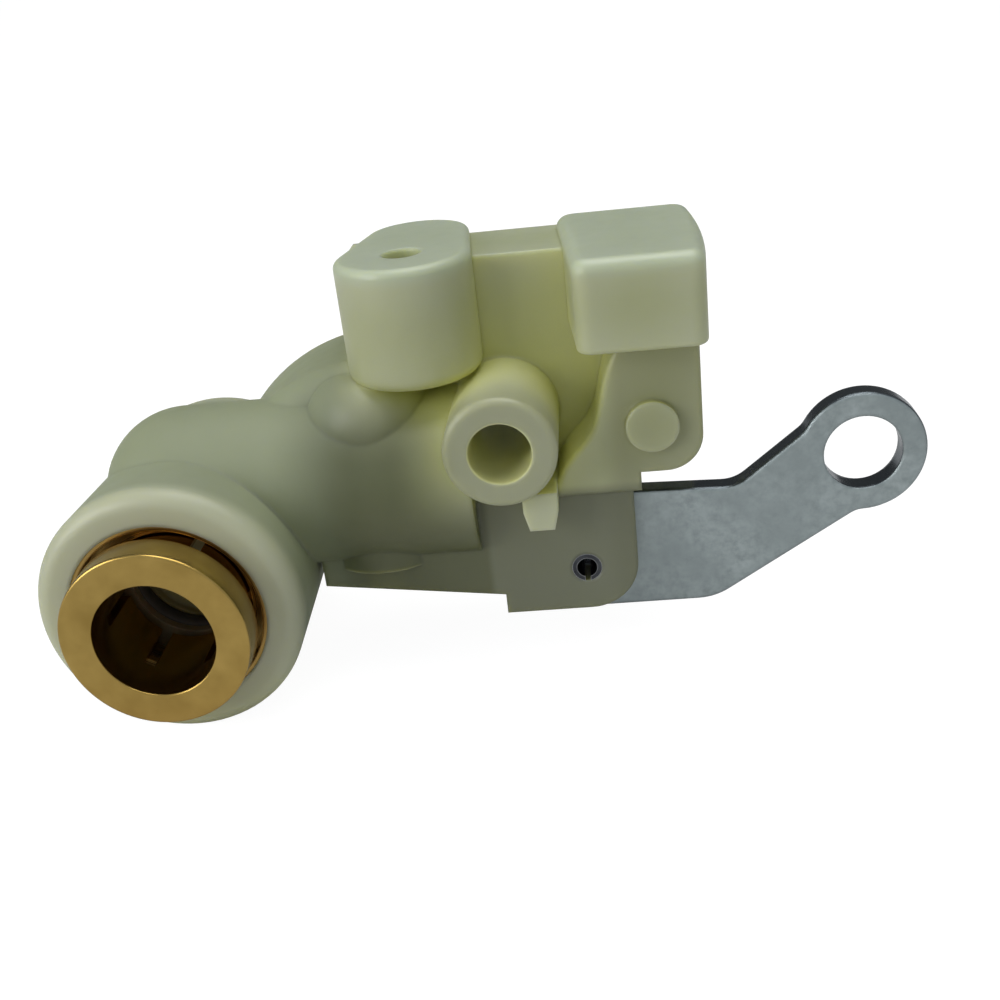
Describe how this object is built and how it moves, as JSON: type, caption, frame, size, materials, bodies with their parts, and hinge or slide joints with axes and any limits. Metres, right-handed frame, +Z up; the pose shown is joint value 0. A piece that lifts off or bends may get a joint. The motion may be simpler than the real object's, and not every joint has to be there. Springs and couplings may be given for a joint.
{
  "type": "air horn valve",
  "caption": "Lever-pulled poppet valve for an air horn, with a moulded nylon body, two brass push-in ports for 3/8 inch air tube and a flat steel lever.",
  "frame": {"origin": "mouth of the blind screw hole in the round mounting pad, on the top mounting plane", "axes": "+Z up out of the mounting plane, +X along the lever towards its eye, +Y through the tube ports towards the supply side, Y = 0 in the middle plane of lever and ports"},
  "size_m": [0.0727, 0.032, 0.0353],
  "materials": {
    "nylon": "satin",
    "zinc_steel": "satin",
    "spring_steel": "satin",
    "brass": "polished",
    "rubber": "matte",
    "guide_plastic": "satin"
  },
  "bodies": {
    "fixed_valve": {"valve_body": "nylon", "pivot_pin": "spring_steel", "valve_seat": "brass", "seat_seal": "rubber", "return_spring": "spring_steel", "plunger_guide": "guide_plastic", "plunger_seal": "rubber", "retaining_ring": "spring_steel", "delivery_sleeve": "brass", "delivery_spacer": "guide_plastic", "delivery_tube_seal": "rubber", "supply_sleeve": "brass", "supply_spacer": "guide_plastic", "supply_tube_seal": "rubber"},
    "lever_arm": {"lever": "zinc_steel"},
    "plunger_stem": {"plunger": "brass"},
    "poppet_valve": {"poppet": "brass", "poppet_face": "rubber"},
    "delivery_release": {"delivery_collet": "brass"},
    "supply_release": {"supply_collet": "brass"}
  },
  "joints": [
    {"name": "lever_swing", "type": "hinge", "parent": "fixed_valve", "child": "lever_arm", "pos_m": [0.0126, 0, -0.0269], "axis": [0, 1, 0], "range_deg": [0, 7], "stiffness_Nm_per_rad": 0.44, "springref_deg": -6.88},
    {"name": "plunger_slide", "type": "slide", "parent": "fixed_valve", "child": "plunger_stem", "axis": [0, 0, 1], "range_m": [0, 0.0021]},
    {"name": "poppet_slide", "type": "slide", "parent": "fixed_valve", "child": "poppet_valve", "axis": [0, 0, 1], "range_m": [0, 0.0021], "deforming": ["return_spring"]},
    {"name": "delivery_push", "type": "slide", "parent": "fixed_valve", "child": "delivery_release", "axis": [0, 1, 0], "range_m": [0, 0.0011]},
    {"name": "supply_push", "type": "slide", "parent": "fixed_valve", "child": "supply_release", "axis": [0, -1, 0], "range_m": [0, 0.0011]}
  ],
  "couplings": [
    {"joint": "plunger_slide", "follows": "lever_swing", "m_per_rad": 0.0171},
    {"joint": "poppet_slide", "follows": "lever_swing", "m_per_rad": 0.0171}
  ]
}
